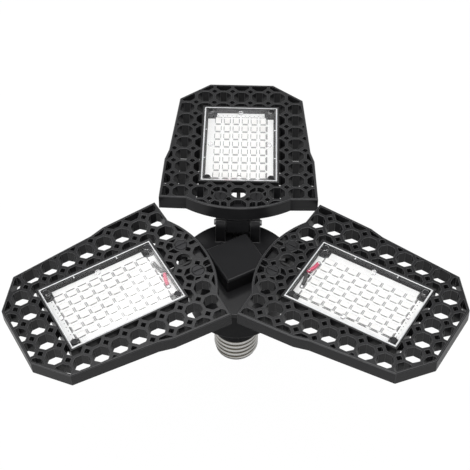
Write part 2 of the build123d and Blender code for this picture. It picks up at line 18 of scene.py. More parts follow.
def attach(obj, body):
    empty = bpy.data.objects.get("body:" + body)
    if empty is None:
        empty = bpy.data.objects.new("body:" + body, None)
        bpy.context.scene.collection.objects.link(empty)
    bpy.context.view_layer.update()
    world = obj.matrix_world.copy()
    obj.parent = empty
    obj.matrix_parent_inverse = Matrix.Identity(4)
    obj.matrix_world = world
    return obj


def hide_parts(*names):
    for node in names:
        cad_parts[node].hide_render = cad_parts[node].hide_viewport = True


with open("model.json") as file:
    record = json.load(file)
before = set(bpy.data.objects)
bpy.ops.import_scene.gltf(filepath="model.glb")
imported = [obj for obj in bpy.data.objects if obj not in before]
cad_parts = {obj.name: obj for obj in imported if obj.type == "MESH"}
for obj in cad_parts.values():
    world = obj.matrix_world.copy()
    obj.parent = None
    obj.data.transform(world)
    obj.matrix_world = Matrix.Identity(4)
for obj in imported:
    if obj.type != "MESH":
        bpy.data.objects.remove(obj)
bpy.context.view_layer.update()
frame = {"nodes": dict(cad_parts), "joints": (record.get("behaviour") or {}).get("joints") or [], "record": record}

MM = 0.001
nodes = frame["nodes"]

# %% [markdown]
# ## Where each leaf stands
# A leaf has its own frame: its origin on the hinge axis, +X outwards, +Y round
# the hub and +Z towards the light. The hinge's place and axis come from the
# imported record. A joint's lowest turn takes its leaf from rest to the upper stop,
# a fixed angle above level, so the tilt at rest is that limit plus the stop. A
# piece could be built flat and turned as an object, but each mesh here lies in
# place with its object at the origin, so the points themselves are turned.

# %% Leaf frames from the joints
LEAVES = (1, 2, 3)
UP_STOP = 2.0                     # degrees from level to the upper stop
LEAF_REACH, LEAF_FACE = 108.8, 15.5   # outer wall and top face in the leaf's frame, mm


def leaf_frame_axes(number):
    """The hinge point, and the unit vectors outwards, round and up of a leaf.

    Outwards is the radial direction turned up by the tilt about the hinge axis;
    up is the cross product of outwards and round.
    """
    joint = frame["joints"][number - 1]
    origin = np.array(joint["pos_m"], float)
    round_hub = np.array(joint["axis"], float)
    tilt = np.radians(joint["range_deg"][0] + UP_STOP)
    radial = np.cross(round_hub, [0.0, 0.0, 1.0])
    outward = np.cos(tilt) * radial + np.sin(tilt) * np.array([0.0, 0.0, 1.0])
    return origin, outward, round_hub, np.cross(outward, round_hub)


def in_leaf(number, points):
    """Points in a leaf's frame, in millimetres, as points of the lamp in metres:
    the hinge point plus x times outwards, y times round and z times up."""
    origin, outward, round_hub, up = leaf_frame_axes(number)
    points = np.asarray(points, float) * MM
    return origin + points @ np.array([outward, round_hub, up])


print("leaf 1 tip", in_leaf(1, [LEAF_REACH, 0, LEAF_FACE]).round(4))

# %% [markdown]
# ## The camera
# The photograph was taken from about fifty degrees above the leaves with a long
# lens. The focal length, angles and distance were fitted to the grille's cells. A
# Track To constraint could aim the camera, but the view is rolled by half a
# degree, so its matrix is written down: to the side, to the top and back.

# %% Camera
FOCAL_PIXELS, FRAME_PIXELS, SENSOR = 1461.46, 470, 36.0
AZIMUTH, ELEVATION, ROLL = np.radians([0.938, 49.889, 0.493])
TARGET = np.array([-1.262, 1.393, 81.0]) * MM
DISTANCE = 810.2 * MM

back = np.array([np.sin(AZIMUTH) * np.cos(ELEVATION),
                 -np.cos(AZIMUTH) * np.cos(ELEVATION), np.sin(ELEVATION)])
level = np.array([np.cos(AZIMUTH), np.sin(AZIMUTH), 0.0])
above = np.cross(back, level)
side = np.cos(ROLL) * level + np.sin(ROLL) * above
top = -np.sin(ROLL) * level + np.cos(ROLL) * above
camera_data = bpy.data.cameras.new("camera")
camera_data.sensor_width = SENSOR
camera_data.lens = FOCAL_PIXELS / FRAME_PIXELS * SENSOR
camera = bpy.data.objects.new("camera", camera_data)
bpy.context.scene.collection.objects.link(camera)
camera.matrix_world = Matrix(
    np.vstack([np.column_stack([side, top, back, TARGET + DISTANCE * back]),
               [0, 0, 0, 1]]).tolist())
bpy.context.scene.camera = camera
bpy.context.scene.view_settings.view_transform = "Standard"
print("lens", round(camera_data.lens, 2), "at", (TARGET + DISTANCE * back).round(3))

# %% [markdown]
# ## Node trees in few words
# Every finish is a tree of shader nodes. Two small helpers keep the trees short:
# one adds a node with its settings and links, the other starts a material with a
# Principled shader. A link is written as the socket that feeds the input. The
# trees could be wired by hand in the Shader Editor, but a written tree can be read,
# changed in one place and built again.


# %% Helpers for shader nodes
def add(tree, kind, settings=None, **links):
    """A shader node of a kind. settings are attributes of the node, and links are
    inputs by name, with _ for a space: a socket is linked, a value is set."""
    node = tree.nodes.new(kind)
    for name, value in (settings or {}).items():
        setattr(node, name, value)
    for name, value in links.items():
        socket = node.inputs[int(name[1:])] if name[0] == "i" and name[1:].isdigit() \
            else node.inputs[name.replace("_", " ")]
        if isinstance(value, bpy.types.NodeSocket):
            tree.links.new(value, socket)
        else:
            socket.default_value = value
    return node


def finish_of(name, color, roughness, **values):
    """A material with one Principled shader, and that shader."""
    material = bpy.data.materials.new(name)
    material.use_nodes = True
    tree = material.node_tree
    shader = tree.nodes["Principled BSDF"]
    shader.inputs["Base Color"].default_value = (*color, 1)
    shader.inputs["Roughness"].default_value = roughness
    for key, value in values.items():
        shader.inputs[key.replace("_", " ")].default_value = value
    material.diffuse_color = (*color, 1)
    return material, tree, shader


print("helpers", add.__name__, "and", finish_of.__name__)

# %% [markdown]
# ## The floor
# The photograph has no background. A pale floor lies below the reach of a folded
# leaf, and the camera sees it nearly white, with a little of the lamp's shadow
# left in it. Stronger lamps could whiten it, but they would bleach the boards too,
# so a Light Path node mixes plain white in for the rays that look straight at it.

# %% Floor
FLOOR_GAP = 2 * MM                # below the outer wall of a folded leaf
FLOOR_HALF = 6.0                  # half its side, metres
FLOOR_GREY, FLOOR_WHITE = 0.55, 1.03   # its diffuse colour, and its plain white
SHADOW_KEPT = 0.04                # share of the floor's own shading that shows


def seen_directly(tree, *kinds):
    """1 for rays of the kinds that have met no matte surface before, or else 0. So
    white paint under glass isn't lit by the white that only gloss should see."""
    path = add(tree, "ShaderNodeLightPath")
    seen = path.outputs[kinds[0]]
    for kind in kinds[1:]:
        seen = add(tree, "ShaderNodeMath", {"operation": "MAXIMUM"}, i0=seen,
                   i1=path.outputs[kind]).outputs[0]
    unspread = add(tree, "ShaderNodeMath", {"operation": "LESS_THAN"},
                   i0=path.outputs["Diffuse Depth"], i1=0.5)
    return add(tree, "ShaderNodeMath", {"operation": "MULTIPLY"}, i0=seen,
               i1=unspread.outputs[0]).outputs[0]


def pale_floor():
    """A pale matte floor that is mostly plain white to the camera and through glass.
    Gloss and bounced light meet the matte floor itself."""
    material, tree, shader = finish_of("floor_white", (FLOOR_GREY,) * 3, 0.9)
    white = add(tree, "ShaderNodeEmission", Color=(1, 1, 1, 1), Strength=FLOOR_WHITE)
    share = add(tree, "ShaderNodeMath", {"operation": "MULTIPLY"},
                i0=seen_directly(tree, "Is Camera Ray", "Is Transmission Ray"),
                i1=1 - SHADOW_KEPT)
    mix = add(tree, "ShaderNodeMixShader", Fac=share.outputs[0],
              i1=shader.outputs[0], i2=white.outputs[0])
    tree.links.new(mix.outputs[0], tree.nodes["Material Output"].inputs["Surface"])
    return material


floor_height = frame["joints"][0]["pos_m"][2] - LEAF_REACH * MM - FLOOR_GAP
floor_corners = np.array([(-1, -1), (1, -1), (1, 1), (-1, 1)]) * FLOOR_HALF
floor_mesh = bpy.data.meshes.new("floor")
floor_mesh.from_pydata(np.column_stack([floor_corners, np.full(4, floor_height)]).tolist(),
                       [], [(0, 1, 2, 3)])
floor = bpy.data.objects.new("floor", floor_mesh)
bpy.context.scene.collection.objects.link(floor)
floor_mesh.materials.append(pale_floor())
print("floor at", round(floor_height, 4))

# %% [markdown]
# ## The world
# Round the lamp all is white, to the camera and through glass. A picture of a
# studio could light the lamp, but a few numbers do here: matte surfaces get a weak
# fill, and glossy ones see a bright horizon under a dimmer ceiling, which sets the
# upright walls off from the flat faces.

# %% World
WORLD_FILL = 0.2                  # strength of the world as a lamp
HORIZON, CEILING = 0.6, 0.12      # strengths of the low and the high world in gloss
SKY_BAND = 0.64, 0.73             # sines of the heights between which one becomes the other

world = bpy.data.worlds.new("studio")
bpy.context.scene.world = world
world.use_nodes = True
background = world.node_tree.nodes["Background"]
background.inputs["Color"].default_value = (1, 1, 1, 1)


def world_strength(tree):
    """White to the camera and through glass, and the fill for diffuse light. In gloss
    the horizon's strength falls to the ceiling's from forty to forty-seven degrees up."""
    direction = add(tree, "ShaderNodeTexCoord").outputs["Generated"]
    height = add(tree, "ShaderNodeSeparateXYZ", Vector=direction).outputs["Z"]
    overhead = add(tree, "ShaderNodeMapRange", {"interpolation_type": "SMOOTHSTEP"},
                   Value=height, From_Min=SKY_BAND[0], From_Max=SKY_BAND[1],
                   To_Min=HORIZON, To_Max=CEILING)
    gloss = add(tree, "ShaderNodeMapRange", Value=seen_directly(tree, "Is Glossy Ray"),
                To_Min=WORLD_FILL, To_Max=overhead.outputs[0])
    return add(tree, "ShaderNodeMapRange", To_Min=gloss.outputs[0], To_Max=1.0,
               Value=seen_directly(tree, "Is Camera Ray", "Is Transmission Ray")).outputs[0]


world.node_tree.links.new(world_strength(world.node_tree), background.inputs["Strength"])
print("world nodes", len(world.node_tree.nodes))

# %% [markdown]
# ## The soft boxes
# The main light is a wide soft box overhead. Its edge just reaches the reflection
# in the left window and misses the one in the right window. A smaller panel at the
# front left lights the outer walls of the near leaves. A sun or a spot would be
# simpler, but the photograph has no hard shadows, so both are area lamps.

# %% Lamps
AIM = np.array([0.0, 0.0, 0.07])  # what the panels face


def soft_panel(name, azimuth, elevation, distance, width, brightness):
    """A square area lamp that faces the leaves, placed by its azimuth and elevation
    in degrees and its distance in metres. Its power is brightness times pi times its
    area, in watts."""
    data = bpy.data.lights.new(name, "AREA")
    data.size, data.energy = width, brightness * np.pi * width ** 2
    turn, rise = np.radians([azimuth, elevation])
    away = np.array([np.cos(rise) * np.cos(turn), np.cos(rise) * np.sin(turn), np.sin(rise)])
    lamp = bpy.data.objects.new(name, data)
    bpy.context.scene.collection.objects.link(lamp)
    right = np.cross([0.0, 0.0, 1.0], away)
    right /= np.linalg.norm(right)
    lamp.matrix_world = Matrix(np.vstack([
        np.column_stack([right, np.cross(away, right), away, AIM + distance * away]),
        [0, 0, 0, 1]]).tolist())
    return lamp


soft_panel("soft_box", azimuth=60, elevation=87.3, distance=1.2, width=1.3, brightness=2.45)
soft_panel("front_fill", azimuth=232, elevation=32, distance=1.5, width=0.7, brightness=3.2)
print("lamps", [lamp.name for lamp in bpy.data.lights])

# %% [markdown]
# ## An effect that the finishes share
# Moulded plastic has a fine spark-eroded grain, and no surface is all one tone.
# Both could be painted into an image, but noise needs no unwrapping and shows no
# seam. One node group with named inputs holds both, built once and placed in each
# material with its own values.

# %% Shared node group
GRAIN_SCALE, TONE_SCALE, TONE_DEPTH = 2600.0, 60.0, 0.12


def new_group(name, inputs, outputs):
    """A shader node group with named float inputs and typed outputs."""
    tree = bpy.data.node_groups.new(name, "ShaderNodeTree")
    for label, value in inputs.items():
        socket = tree.interface.new_socket(label, in_out="INPUT", socket_type="NodeSocketFloat")
        socket.default_value = value
    for label, kind in outputs.items():
        tree.interface.new_socket(label, in_out="OUTPUT", socket_type="NodeSocket" + kind)
    entry = tree.nodes.new("NodeGroupInput")
    return tree, entry.outputs, tree.nodes.new("NodeGroupOutput").inputs


def moulded_grain_group():
    """Height: fine noise. Tone: slow noise about one, times its depth, plus one.
    Roughness: the mean plus the slow noise times its depth."""
    tree, given, out = new_group(
        "moulded_grain",
        {"Grain Scale": GRAIN_SCALE, "Tone Scale": TONE_SCALE, "Tone Depth": TONE_DEPTH,
         "Roughness": 0.5, "Roughness Depth": 0.1},
        {"Height": "Float", "Tone": "Float", "Roughness": "Float"})
    place = add(tree, "ShaderNodeTexCoord").outputs["Object"]
    fine = add(tree, "ShaderNodeTexNoise", Vector=place, Scale=given["Grain Scale"], Detail=3.0)
    slow = add(tree, "ShaderNodeTexNoise", Vector=place, Scale=given["Tone Scale"], Detail=4.0)
    centred = add(tree, "ShaderNodeMath", {"operation": "SUBTRACT"}, i0=slow.outputs[0], i1=0.5)
    tone = add(tree, "ShaderNodeMath", {"operation": "MULTIPLY_ADD"},
               i0=centred.outputs[0], i1=given["Tone Depth"], i2=1.0)
    rough = add(tree, "ShaderNodeMath", {"operation": "MULTIPLY_ADD"},
                i0=centred.outputs[0], i1=given["Roughness Depth"], i2=given["Roughness"])
    tree.links.new(fine.outputs[0], out["Height"])
    tree.links.new(tone.outputs[0], out["Tone"])
    tree.links.new(rough.outputs[0], out["Roughness"])
    return tree


MOULDED_GRAIN = moulded_grain_group()
print("group", MOULDED_GRAIN.name, "with", len(MOULDED_GRAIN.nodes), "nodes")

# %% [markdown]
# ## The finishes
# One finish for each slot of the imported record, and some for small details. The
# leaves and the hub are the same dark plastic, but the hub's is duller, and its
# darker colour is a painted shade. Their broken edges are painted a little lighter
# as a painted highlight, so the edges' narrow faces have a finish of their own.
# Boards and chips are white, the screws are blackened and the tip is soldered
# brass. Each could be a tree of its own, but they differ only in a few numbers, so
# a table lists those and one function builds all the trees.


# %% Finishes
def grained(name, color, roughness, depth, scale=GRAIN_SCALE, tone=TONE_DEPTH, **values):
    """A finish with the moulded grain: its tone multiplies the colour, its height
    drives a bump of a depth in micrometres, and its roughness varies about the mean."""
    material, tree, shader = finish_of(name, color, roughness, **values)
    grain = add(tree, "ShaderNodeGroup", {"node_tree": MOULDED_GRAIN},
                Grain_Scale=scale, Roughness=roughness, Tone_Depth=tone)
    shade = add(tree, "ShaderNodeVectorMath", {"operation": "SCALE"}, i0=color,
                Scale=grain.outputs["Tone"])
    bump = add(tree, "ShaderNodeBump", Strength=1.0, Distance=depth * 1e-6,
               Height=grain.outputs["Height"])
    tree.links.new(shade.outputs[0], shader.inputs["Base Color"])
    tree.links.new(grain.outputs["Roughness"], shader.inputs["Roughness"])
    tree.links.new(bump.outputs[0], shader.inputs["Normal"])
    return material


METAL = {"Metallic": 1.0}
WIRE_GRAIN = {"scale": 1500.0}
# name: colour, roughness, depth of the grain in micrometres, and what else differs
GRAINED = {
    "black_plastic": ((0.022, 0.022, 0.0235), 0.22, 20,
                      {"tone": 0.3, "Specular_IOR_Level": 0.36}),
    # painted shade: the hub's plastic is darker, as if in the top leaf's shade
    "shaded_hub_plastic": ((0.019, 0.019, 0.0205), 0.3, 10,
                    {"tone": 0.3, "Specular_IOR_Level": 0.1}),
    # painted highlight: edges lighter than the plastic, as if catching the light
    "painted_edge_highlight": ((0.05, 0.05, 0.052), 0.36, 10,
                    {"tone": 0.6, "Specular_IOR_Level": 0.5}),
    "nylon_black": ((0.015, 0.015, 0.016), 0.4, 10, {}),
    "board_white": ((0.9, 0.9, 0.895), 0.35, 10, {"tone": 0.04}),
    "board_print": ((0.05, 0.05, 0.05), 0.5, 10, {}),
    "chip_lens": ((0.9, 0.89, 0.875), 0.3, 5, {"tone": 0.08}),
    "chip_body": ((0.9, 0.895, 0.89), 0.4, 5, {"tone": 0.04}),
    # painted shade: dark bars along the chips' sides stand for the shade there
    "chip_side_shade": ((0.06, 0.06, 0.06), 0.4, 5, {}),
    # tinned pads, their grey partly a painted shade at the chips' ends
    "tinned_pad_and_shade": ((0.36, 0.36, 0.36), 0.45, 5, {}),
    "solder": ((0.55, 0.55, 0.56), 0.28, 20, METAL | WIRE_GRAIN),
    "dark_screw": ((0.05, 0.05, 0.052), 0.32, 10, METAL),
    "steel": ((0.45, 0.45, 0.46), 0.3, 10, METAL),
    "cable_black": ((0.02, 0.02, 0.02), 0.45, 20, WIRE_GRAIN),
    "cable_red": ((0.6, 0.05, 0.13), 0.35, 10, WIRE_GRAIN),
    "grommet_rubber": ((0.02, 0.02, 0.02), 0.7, 30, {}),
    "board_green": ((0.03, 0.16, 0.07), 0.35, 10, {}),
    "ferrite": ((0.09, 0.09, 0.095), 0.6, 40, {"scale": 1200.0}),
    "capacitor_sleeve": ((0.03, 0.05, 0.2), 0.25, 5, {}),
    "gloss_black": ((0.015, 0.015, 0.016), 0.18, 5, {}),
    "cable_white": ((0.8, 0.8, 0.77), 0.4, 10, WIRE_GRAIN),
    "contact_metal": ((0.7, 0.66, 0.58), 0.3, 20, METAL),
    # painted highlight: pale matte edges of the clear acrylic
    "acrylic_edge_highlight": ((0.93, 0.94, 0.95), 0.3, 10, {"tone": 0.1}),
}
finishes = {name: grained(name, *plain, **others)
            for name, (*plain, others) in GRAINED.items()}
print("finishes with the grain", len(finishes))

# %% [markdown]
# ## The clear cover
# Each window is a plate of clear acrylic. Glass in Cycles stops the lamps' direct
# light, and the board under it would turn grey. Caustics could carry the light
# through, but they are slow and noisy, so shadow rays simply pass.

# %% Clear acrylic
SHADE_THROUGH = 0.95              # share of a lamp's light that the cover lets through


def clear_finish():
    """Clear acrylic that lets the lamps' light through: for a shadow ray it is
    plainly transparent, and for all others it is glass."""
    material, tree, shader = finish_of("clear_cover", (0.98, 0.98, 0.98), 0.02,
                                       Transmission_Weight=1.0, IOR=1.49)
    path = add(tree, "ShaderNodeLightPath")
    through = add(tree, "ShaderNodeBsdfTransparent", Color=(*(SHADE_THROUGH,) * 3, 1))
    mix = add(tree, "ShaderNodeMixShader", Fac=path.outputs["Is Shadow Ray"],
              i1=shader.outputs[0], i2=through.outputs[0])
    tree.links.new(mix.outputs[0], tree.nodes["Material Output"].inputs["Surface"])
    return material


finishes["clear_cover"] = clear_finish()
print("light through the cover", SHADE_THROUGH)

# %% [markdown]
# ## The shell's nickel
# The screw shell is nickel plated. The socket keeps its crests bright, and the
# grooves are painted dark brown: a painted shade for the shade in them, with some
# brown tarnish. A mask could be painted in an image, but the distance from the
# axis already tells a crest from a groove, so it mixes the two colours.

# %% Nickel
# the grooves' dark brown is a painted shade, with some tarnish
GROOVE_SHADE_AND_TINT, CREST = (0.12, 0.1, 0.06, 1), (0.9, 0.89, 0.86, 1)
GROOVE_TO, CREST_FROM = 0.0123, 0.0129    # radii in metres
THREAD_TO, LIP_FROM = -0.0172, -0.0179    # heights in metres


def thread_finish():
    """Bright nickel on the crests and the lip that darkens to brown in the thread's
    grooves, a painted shade with some tarnish: the distance from the axis mixes two
    colours, and below the thread the height alone gives the bright one."""
    material, tree, shader = finish_of("nickel_shell", (0.7, 0.68, 0.62), 0.16, Metallic=1.0)
    place = add(tree, "ShaderNodeTexCoord").outputs["Object"]
    level = add(tree, "ShaderNodeVectorMath", {"operation": "MULTIPLY"}, i0=place,
                i1=(1, 1, 0))
    distance = add(tree, "ShaderNodeVectorMath", {"operation": "LENGTH"}, i0=level.outputs[0])
    groove_shade_mask = add(tree, "ShaderNodeMapRange", {"interpolation_type": "SMOOTHSTEP"},
               Value=distance.outputs["Value"], From_Min=GROOVE_TO, From_Max=CREST_FROM)
    height = add(tree, "ShaderNodeSeparateXYZ", Vector=place).outputs["Z"]
    lip = add(tree, "ShaderNodeMapRange", {"interpolation_type": "SMOOTHSTEP"},
              Value=height, From_Min=THREAD_TO, From_Max=LIP_FROM)
    bright = add(tree, "ShaderNodeMath", {"operation": "MAXIMUM"}, i0=groove_shade_mask.outputs[0],
                 i1=lip.outputs[0])
    grain = add(tree, "ShaderNodeGroup", {"node_tree": MOULDED_GRAIN}, Grain_Scale=1200.0,
                Roughness=0.12, Tone_Scale=300.0)
    # the sockets of a Mix node's colours: 6 and 7 go in, 2 comes out
    mix = add(tree, "ShaderNodeMix", {"data_type": "RGBA"}, Factor=bright.outputs[0],
              i6=GROOVE_SHADE_AND_TINT, i7=CREST)
    tree.links.new(mix.outputs[2], shader.inputs["Base Color"])
    tree.links.new(grain.outputs["Roughness"], shader.inputs["Roughness"])
    return material


finishes["nickel_shell"] = thread_finish()
print("finishes", len(finishes))

# %% [markdown]
# ## Finishes on the imported pieces
# The record gives each CAD node a slot for its material and a body that it moves
# with. Every node takes its slot's finish, and the rounded copies below look up
# their body here, so that it is not written down twice.

# %% Slots and bodies
SLOT_OF = {row["node"]: row["material_slot"] for row in frame["record"]["subparts"]}
BODY_OF = {node: body for body, members in frame["record"]["behaviour"]["bodies"].items()
           for node in members}
for name, node in nodes.items():
    node.data.materials.clear()
    node.data.materials.append(finishes[SLOT_OF[name]])
print("slots in use", len(set(SLOT_OF.values())))

# %% [markdown]
# ## Moulded edges
# A CAD edge is perfectly sharp, but a mould leaves a small radius that catches the
# light as a thin line. A Bevel node in the shader could fake it, but only in a
# render. So a plastic part is shown by a copy of its CAD mesh: its doubles are
# merged, its flat faces joined, and a Bevel modifier rounds every edge sharper
# than thirty degrees. The new narrow faces may get a second finish. Flat faces
# stay flat-shaded, and only those with a shallow edge shade as round.

# %% Rounded copies of CAD nodes
WELD = 2e-6                       # metres
SIDE_WITHIN = 0.5                 # a side face: its normal has less height than this
EVEN_WEIGHT = 80                  # how much large faces lead the shading
FLAT_WITHIN, ROUND_FROM, CREASE_FROM = np.radians([0.35, 30.0, 14.0]).tolist()


def stand_for(piece, *replaced):
    """The piece rides on the body of the first node and hides them all."""
    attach(piece, BODY_OF[replaced[0]])
    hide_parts(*replaced)


def rounded(node_name, piece_name, width, finish, edge_finish, cut_up=False, chosen=None):
    """A copy of a CAD node with edges rounded over a width in millimetres. cut_up
    divides its many-sided faces first. With chosen, a test for corners, only edges
    between two such corners are rounded, and side faces between them get the edge's
    finish too."""
    work = bmesh.new()
    work.from_mesh(nodes[node_name].data)
    bmesh.ops.remove_doubles(work, verts=work.verts, dist=WELD)
    bmesh.ops.dissolve_limit(work, angle_limit=FLAT_WITHIN, verts=work.verts,
                             edges=work.edges)
    if cut_up:
        bmesh.ops.triangulate(work, faces=[face for face in work.faces
                                           if len(face.verts) > 4])
    if chosen:
        weight = work.edges.layers.float.new("bevel_weight_edge")
        for edge in work.edges:
            edge[weight] = float(edge.calc_face_angle(0.0) > ROUND_FROM
                                 and all(chosen(corner.co) for corner in edge.verts))
    for edge in work.edges:
        edge.smooth = not CREASE_FROM < edge.calc_face_angle(0.0) < ROUND_FROM
    for face in work.faces:
        face.smooth = any(FLAT_WITHIN < edge.calc_face_angle(0.0) < CREASE_FROM
                          for edge in face.edges)
        if chosen and all(chosen(corner.co) for corner in face.verts):
            face.material_index = int(abs(face.normal.z) < SIDE_WITHIN)
    mesh = bpy.data.meshes.new(piece_name)
    work.to_mesh(mesh)
    work.free()
    mesh.materials.append(finishes[finish])
    mesh.materials.append(finishes[edge_finish])
    piece = bpy.data.objects.new(piece_name, mesh)
    bpy.context.scene.collection.objects.link(piece)
    # the bevel's narrow faces take the edge finish, which may be a painted highlight
    bevel = piece.modifiers.new("moulded_edges", "BEVEL")
    bevel.width, bevel.segments, bevel.material = width * MM, 1 if chosen else 2, 1
    bevel.limit_method, bevel.angle_limit = "WEIGHT" if chosen else "ANGLE", ROUND_FROM
    bevel.use_clamp_overlap = False
    even = piece.modifiers.new("even_shading", "WEIGHTED_NORMAL")
    even.weight, even.keep_sharp = EVEN_WEIGHT, True
    stand_for(piece, node_name)
    return piece


print("rounding starts at", round(np.degrees(ROUND_FROM)), "degrees")

# %% [markdown]
# ## The pieces that get them
# The grilles, brackets, hub and cap are moulded, the boards are sawn and the screw
# heads are turned, and none of them has a sharp edge. One width could serve all,
# but each follows the bright line that the photograph shows on its own piece. On
# the clear cover only the outline is bright, so a test picks its edges.

# %% Rounded pieces
COVER_MIDDLE, COVER_HALF = np.array([52.5, 0.0]), np.array([33.7, 22.0])
TOUCH = 0.02                      # how near to the outline a corner has to be, mm


def on_cover_edge(number):
    """A test for points on the cover's outline: in the leaf's frame, one of the two
    distances from the cover's middle is half its length or width."""
    origin, *axes = leaf_frame_axes(number)

    def test(point):
        local = np.array(axes)[:2] @ (np.array(point) - origin) / MM
        return bool((np.abs(np.abs(local - COVER_MIDDLE) - COVER_HALF) < TOUCH).any())
    return test


for number in LEAVES:
    for stem, width, finish, edge_finish in (
            ("leaf_frame", 0.22, "black_plastic", "painted_edge_highlight"),
            ("hinge_tongue", 0.25, "black_plastic", "black_plastic"),
            ("tongue_screws", 0.15, "dark_screw", "dark_screw"),
            ("cover_screws", 0.15, "dark_screw", "dark_screw"),
            ("led_board", 0.1, "board_white", "board_white")):
        rounded(f"{stem}_{number}", f"{stem}_rounded_{number}", width, finish, edge_finish,
                cut_up=stem == "leaf_frame")
    # the cover's outline gets a pale finish that paints a highlight on its edges
    rounded(f"window_cover_{number}", f"clear_cover_{number}", 0.3, "clear_cover",
            "acrylic_edge_highlight", chosen=on_cover_edge(number))
# the cap and the cup take the hub's darker plastic, a painted shade
for stem, width, finish, edge_finish in (
        ("hinge_plate", 0.3, "black_plastic", "painted_edge_highlight"),
        ("centre_cap", 0.35, "shaded_hub_plastic", "black_plastic"),
        ("hub_cup", 0.4, "shaded_hub_plastic", "painted_edge_highlight")):
    piece = rounded(stem, f"{stem}_rounded", width, finish, edge_finish,
                    cut_up=stem == "hinge_plate")
print("last rounded copy", len(piece.data.polygons), "faces before its bevel")

# %% [markdown]
# ## Surfaces from arrays
# The new pieces are surfaces of two parameters. A grid of points goes in, and the
# faces join neighbours. The columns wrap round, the rows may, and open ends get a
# cap. Several bodies can be joined in one mesh. Blender's primitives could be
# edited into these shapes, but a formula shows at once what shape it gives.


# %% Grids into meshes
def grid_faces(rows, columns, wrap_rows=False):
    """Quads of a grid of points whose columns wrap round: each joins a point to its
    neighbours in the next column and the next row."""
    row, column = np.meshgrid(np.arange(rows - (not wrap_rows)), np.arange(columns),
                              indexing="ij")
    next_row, next_column = (row + 1) % rows, (column + 1) % columns
    return np.stack([row * columns + column, row * columns + next_column,
                     next_row * columns + next_column, next_row * columns + column],
                    -1).reshape(-1, 4)


def joined(parts):
    """Bodies, each its points and faces, as one: the faces of each are moved on by
    the number of points before it."""
    points, faces = np.zeros((0, 3)), []
    for part_points, part_faces in parts:
        faces += [[corner + len(points) for corner in face] for face in part_faces]
        points = np.vstack([points, part_points])
    return points, faces


def new_piece(name, points, faces, body, slot, *finish_names, face_finish=None, smooth=True):
    """A mesh object of points in metres and lists of faces, that rides on a body."""
    mesh = bpy.data.meshes.new(name)
    mesh.from_pydata(np.asarray(points).reshape(-1, 3).tolist(), [],
                     [list(face) for face in faces])
    for finish_name in finish_names:
        mesh.materials.append(finishes[finish_name])
    if face_finish is not None:
        mesh.polygons.foreach_set("material_index", np.asarray(face_finish, np.int32))
    mesh.polygons.foreach_set("use_smooth", np.full(len(mesh.polygons), smooth))
    mesh.validate()
    mesh.update()
    piece = bpy.data.objects.new(name, mesh)
    bpy.context.scene.collection.objects.link(piece)
    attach(piece, body)
    return piece


print("two rings of eight points make", len(grid_faces(2, 8)), "faces")

# %% [markdown]
# ## The rolled thread
# The screw shell is thin metal, rolled into a right-handed thread of 3.62 mm
# pitch. A Screw modifier could wind a profile up, but it would end in two open
# steps. So the radius is a wave along the height that climbs one pitch a turn, and
# fades out below the collar and above the rounded lip that holds the insulator.

# %% Screw shell
THREAD_PITCH, CREST_RADIUS, ROOT_RADIUS = 3.62, 13.1, 12.3
THREAD_PHASE = -1.9               # height of a crest at azimuth zero, mm
CREST_POWER = 0.8                 # below one, it makes the crests broader than the roots
SHELL_TOP, LIP_TOP, SHELL_BOTTOM, SHELL_WALL = -0.05, -18.4, -20.5, 0.4
LIP_RADIUS, SHELL_INSIDE = 9.65, 11.7
LOW_FADE, TOP_FADE = (-18.2, -16.4), (-1.6, -0.4)   # the thread grows over these heights
COLLAR, COLLAR_SHARE = (-1.4, -0.5), 0.9            # the plain band at the rim
THREAD_TURN, THREAD_HEIGHTS, LIP_STEPS = 120, 110, 10


def smooth_step(low, high, values):
    """0 below low, 1 above high, and 3t^2 - 2t^3 between."""
    t = np.clip((values - low) / (high - low), 0, 1)
    return t * t * (3 - 2 * t)


def rolled_shell():
    """Outer wall, lip and inner wall as closed rings: the outer radius is the root
    plus the crest's height times a power of (1 + cos(2 pi z / pitch - angle)) / 2."""
    angle = np.linspace(0, 2 * np.pi, THREAD_TURN, endpoint=False)
    height = np.linspace(SHELL_TOP, LIP_TOP, THREAD_HEIGHTS)[:, None]
    phase = 2 * np.pi * (height - THREAD_PHASE) / THREAD_PITCH - angle
    wave = ((1 + np.cos(phase)) / 2) ** CREST_POWER
    fade = smooth_step(*LOW_FADE, height) * (1 - smooth_step(*TOP_FADE, height))
    share = np.maximum(wave * fade, COLLAR_SHARE * smooth_step(*COLLAR, height))
    radius = ROOT_RADIUS + (CREST_RADIUS - ROOT_RADIUS) * share
    lip = np.linspace(0, np.pi / 2, LIP_STEPS)[1:, None]
    lip_radius = LIP_RADIUS + (ROOT_RADIUS - LIP_RADIUS) * np.cos(lip) + 0 * angle
    lip_height = LIP_TOP + (SHELL_BOTTOM - LIP_TOP) * np.sin(lip)
    inner_height = np.array([[SHELL_BOTTOM + SHELL_WALL], [LIP_TOP], [SHELL_TOP]])
    inner_radius = np.array([[LIP_RADIUS], [SHELL_INSIDE], [SHELL_INSIDE]]) + 0 * angle
    radii = np.vstack([radius, lip_radius, inner_radius])
    heights = np.vstack([height, lip_height, inner_height]) + 0 * angle
    points = np.stack([radii * np.cos(angle), radii * np.sin(angle), heights], -1) * MM
    return points, grid_faces(len(radii), THREAD_TURN, wrap_rows=True)[:, ::-1]


shell = new_piece("rolled_shell", *rolled_shell(), "hub", "nickel_shell", "nickel_shell")
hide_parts("screw_shell")
print("shell", len(shell.data.polygons), "faces")

# %% [markdown]
# ## Room for the roots
# The cup's spigot fills the plain CAD shell, and the roots of the rolled wall would
# cut into it. A Boolean could take their shape out of it, but it is hidden, so its
# points are only drawn in by a tenth.

